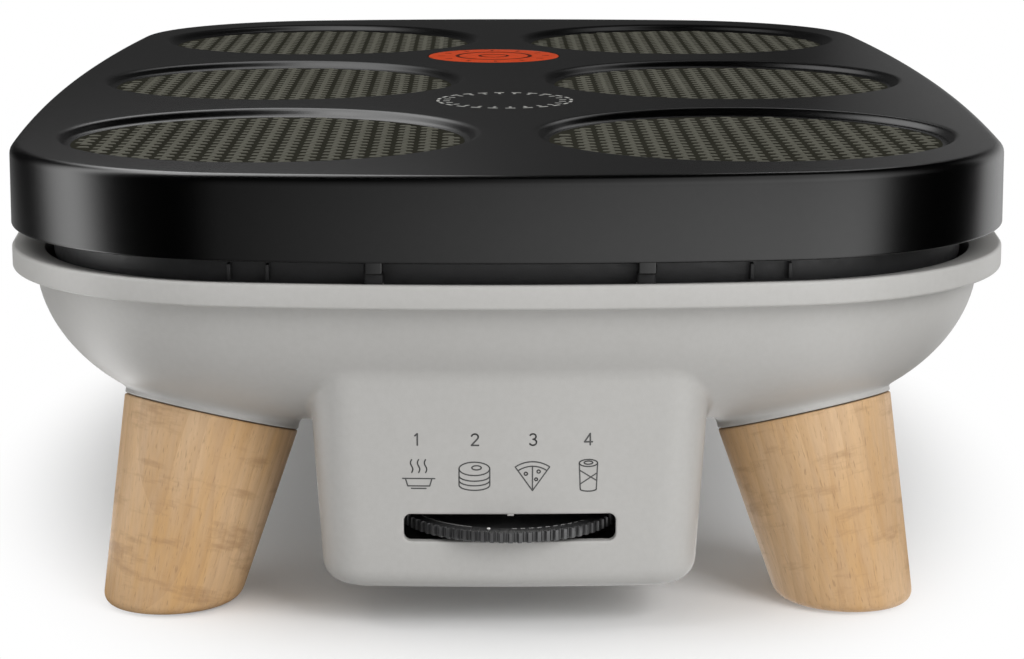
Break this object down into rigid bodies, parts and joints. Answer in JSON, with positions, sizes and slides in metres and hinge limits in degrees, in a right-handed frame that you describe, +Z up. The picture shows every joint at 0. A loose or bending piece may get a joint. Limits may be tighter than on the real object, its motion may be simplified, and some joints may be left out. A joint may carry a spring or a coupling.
{
  "type": "electric crepe maker",
  "caption": "Countertop electric crepe maker: lift-off cast plate with round recesses on a moulded base, splayed wooden legs and a thumb-wheel thermostat.",
  "frame": {"origin": "on the floor under the middle of the plate", "axes": "+Z up, -Y towards the user and the controls, +X to the user's right"},
  "size_m": [0.299, 0.4752, 0.13],
  "materials": {
    "cast_plate": "non-stick coated cast aluminium, fine satin texture, near black",
    "indicator": "orange-red heat-indicator inlay, satin",
    "shell": "light warm grey moulded plastic, fine matt texture",
    "wood": "light oak with straight grain, thin satin lacquer",
    "rubber": "dark soft rubber",
    "gland": "black moulded cable bush",
    "wheel": "black moulded plastic, fine ribs, satin",
    "steel": "plain zinc-plated steel",
    "element_sheath": "heat-darkened tubular heater sheath",
    "black_steel": "black heat-proof enamel on sheet steel",
    "ceramic": "cream unglazed electrical ceramic",
    "sleeving": "grey heat-proof sleeved wire"
  },
  "bodies": {
    "base": {"base_shell": "shell", "control_box_cover": "shell", "heat_shield": "black_steel", "reflector_tray": "steel", "heating_element": "element_sheath", "cover_screw_front_left": "steel", "leg_front_left": "wood", "foot_pad_front_left": "rubber", "plate_pad_front_left": "rubber", "leg_bolt_front_left": "steel", "shield_screw_front_left": "steel", "reflector_post_front_left": "steel", "cover_screw_front_right": "steel", "leg_front_right": "wood", "foot_pad_front_right": "rubber", "plate_pad_front_right": "rubber", "leg_bolt_front_right": "steel", "shield_screw_front_right": "steel", "reflector_post_front_right": "steel", "cover_screw_rear_left": "steel", "leg_rear_left": "wood", "foot_pad_rear_left": "rubber", "plate_pad_rear_left": "rubber", "leg_bolt_rear_left": "steel", "shield_screw_rear_left": "steel", "reflector_post_rear_left": "steel", "cover_screw_rear_right": "steel", "leg_rear_right": "wood", "foot_pad_rear_right": "rubber", "plate_pad_rear_right": "rubber", "leg_bolt_rear_right": "steel", "shield_screw_rear_right": "steel", "reflector_post_rear_right": "steel", "element_clip_outer_left_front": "steel", "element_clip_outer_left_rear": "steel", "element_clip_outer_right_front": "steel", "element_clip_outer_right_rear": "steel", "element_clip_inner_left": "steel", "element_clip_inner_right": "steel", "thermostat_body": "ceramic", "thermostat_strap": "steel", "strap_screw_left": "steel", "strap_screw_right": "steel", "sensor_guide": "ceramic", "sensor_spring": "steel", "terminal_block": "ceramic", "thermal_fuse": "steel", "cord_gland": "gland", "lead_live": "sleeving", "lead_neutral": "sleeving", "lead_return": "sleeving", "lead_switched": "sleeving", "lead_earth": "sleeving"},
    "plate": {"cooking_plate": "cast_plate", "heat_indicator_disc": "indicator"},
    "thumb_wheel": {"thumb_wheel": "wheel", "wheel_spindle": "steel"},
    "sensor": {"sensor_rod": "steel"}
  },
  "joints": [
    {"name": "plate_lift", "type": "slide", "parent": "base", "child": "plate", "axis": [0, 0, 1], "range_m": [0, 0.08]},
    {"name": "wheel_turn", "type": "hinge", "parent": "base", "child": "thumb_wheel", "pos_m": [0, -0.1973, 0.03], "axis": [0, 0, 1], "range_deg": [-55, 63]},
    {"name": "sensor_press", "type": "slide", "parent": "base", "child": "sensor", "axis": [0, 0, 1], "range_m": [-0.002, 0], "stiffness_N_per_m": 300, "springref_m": 0.003, "deforming": ["sensor_spring"]}
  ]
}
